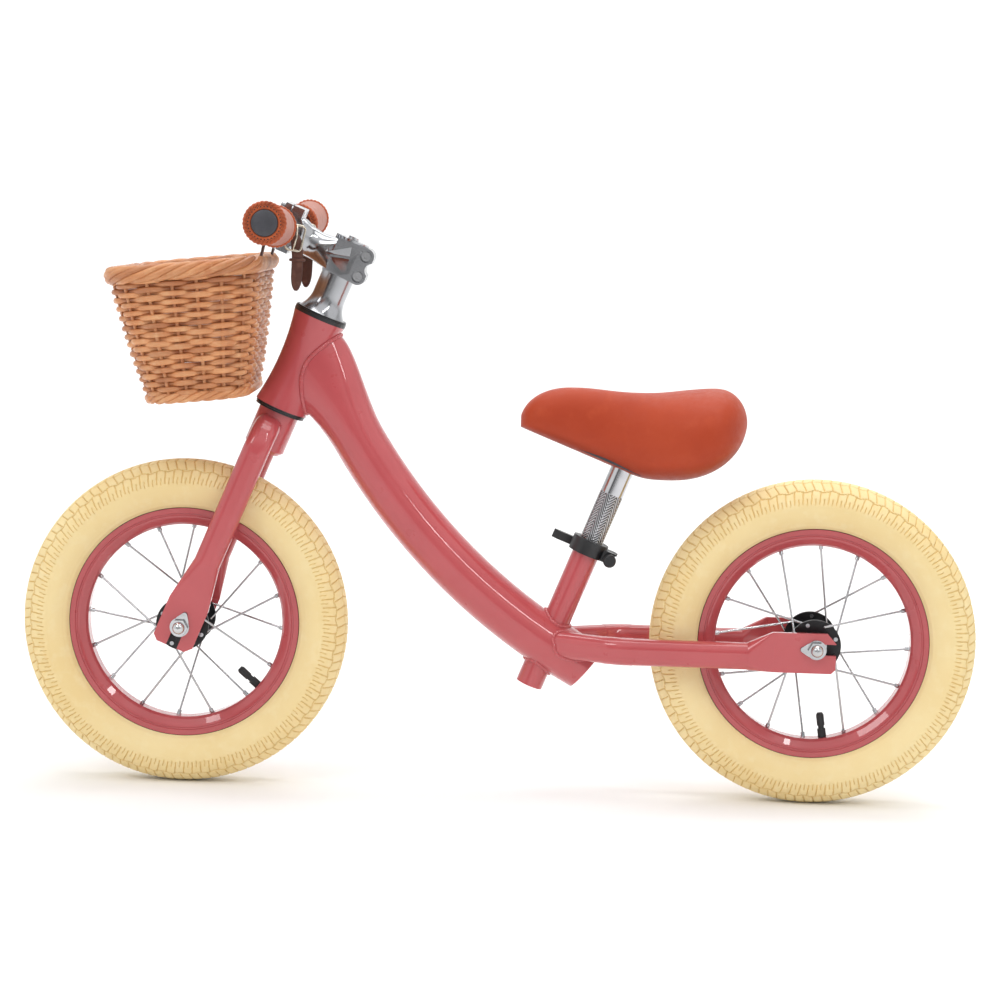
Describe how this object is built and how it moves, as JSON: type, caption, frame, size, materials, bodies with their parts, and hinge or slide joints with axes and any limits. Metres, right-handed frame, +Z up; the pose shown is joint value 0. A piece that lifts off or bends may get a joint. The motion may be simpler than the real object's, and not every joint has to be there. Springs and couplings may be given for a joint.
{
  "type": "balance bike",
  "caption": "Child's pedal-less balance bike with a curved main tube, spoked pneumatic wheels, steering fork, padded saddle on a sliding post, and a wicker front basket.",
  "frame": {"origin": "on the ground, in the bike's middle plane, midway between the two axles", "axes": "+Z up, +X from the front wheel towards the rear wheel, +Y towards the rider's right"},
  "size_m": [0.89, 0.4168, 0.5465],
  "materials": {
    "frame_paint": "gloss",
    "rim_paint": "gloss",
    "black_anodised": "satin",
    "hub_black": "satin",
    "zinc_steel": "satin",
    "spoke_steel": "bright",
    "polished_aluminium": "polished",
    "grip_leather": "matte",
    "braid_leather": "matte",
    "cap_plastic": "matte",
    "tyre_rubber": "matte",
    "black_rubber": "matte",
    "saddle_skin": "matte",
    "dark_steel": "satin",
    "post_chrome": "bright",
    "wicker": "satin",
    "strap_leather": "satin",
    "buckle_brass": "satin"
  },
  "bodies": {
    "frame": {"main_tube": "frame_paint", "head_tube": "frame_paint", "seat_tube": "frame_paint", "left_chainstay": "frame_paint", "right_chainstay": "frame_paint", "headset_cups": "black_anodised", "headset_bearings": "zinc_steel", "seat_clamp_collar": "black_anodised", "seat_clamp_skewer": "zinc_steel", "seat_clamp_nut": "black_anodised", "rear_axle": "zinc_steel", "rear_cones": "hub_black", "rear_axle_nuts": "zinc_steel", "rear_tab_washers": "zinc_steel"},
    "steering": {"steerer_tube": "zinc_steel", "fork_crown": "frame_paint", "left_fork_leg": "frame_paint", "right_fork_leg": "frame_paint", "crown_race": "black_anodised", "headset_top_cover": "black_anodised", "riser_sleeve": "polished_aluminium", "stem": "polished_aluminium", "stem_faceplate": "polished_aluminium", "stem_bolts": "zinc_steel", "top_cap": "polished_aluminium", "top_cap_bolt": "zinc_steel", "handlebar": "polished_aluminium", "left_grip": "grip_leather", "right_grip": "grip_leather", "grip_end_caps": "cap_plastic", "grip_braids": "braid_leather", "front_axle": "zinc_steel", "front_cones": "hub_black", "front_axle_nuts": "zinc_steel", "front_tab_washers": "zinc_steel"},
    "front_wheel": {"front_tyre": "tyre_rubber", "front_inner_tube": "black_rubber", "front_rim": "rim_paint", "front_hub_shell": "hub_black", "front_hub_bearings": "zinc_steel", "front_spokes": "spoke_steel", "front_nipples": "spoke_steel", "front_valve": "black_rubber"},
    "rear_wheel": {"rear_tyre": "tyre_rubber", "rear_inner_tube": "black_rubber", "rear_rim": "rim_paint", "rear_hub_shell": "hub_black", "rear_hub_bearings": "zinc_steel", "rear_spokes": "spoke_steel", "rear_nipples": "spoke_steel", "rear_valve": "black_rubber"},
    "seat": {"saddle_pad": "saddle_skin", "saddle_base": "cap_plastic", "saddle_clamp": "dark_steel", "saddle_clamp_bolt": "zinc_steel", "seat_post": "post_chrome"},
    "lever": {"clamp_lever": "black_anodised"},
    "basket": {"basket_body": "wicker", "basket_straps": "strap_leather", "basket_buckles": "buckle_brass"}
  },
  "joints": [
    {"name": "steering_turn", "type": "hinge", "parent": "frame", "child": "steering", "pos_m": [-0.20902, 0, 0.35319], "axis": [0.3746, 0, 0.9272], "range_deg": [-90, 90]},
    {"name": "front_wheel_spin", "type": "hinge", "parent": "steering", "child": "front_wheel", "pos_m": [-0.293, 0, 0.152], "axis": [0, 1, 0], "continuous": true},
    {"name": "rear_wheel_spin", "type": "hinge", "parent": "frame", "child": "rear_wheel", "pos_m": [0.293, 0, 0.152], "axis": [0, 1, 0], "continuous": true},
    {"name": "seat_height", "type": "slide", "parent": "frame", "child": "seat", "axis": [0.3649, 0, 0.9311], "range_m": [-0.04, 0.03]},
    {"name": "clamp_lever_turn", "type": "hinge", "parent": "frame", "child": "lever", "pos_m": [0.10123, 0.017, 0.22304], "axis": [-0.3649, 0, -0.9311], "range_deg": [0, 150]},
    {"name": "basket_swing", "type": "hinge", "parent": "steering", "child": "basket", "pos_m": [-0.20723, 0, 0.5218], "axis": [0, 1, 0], "range_deg": [0, 30]}
  ]
}
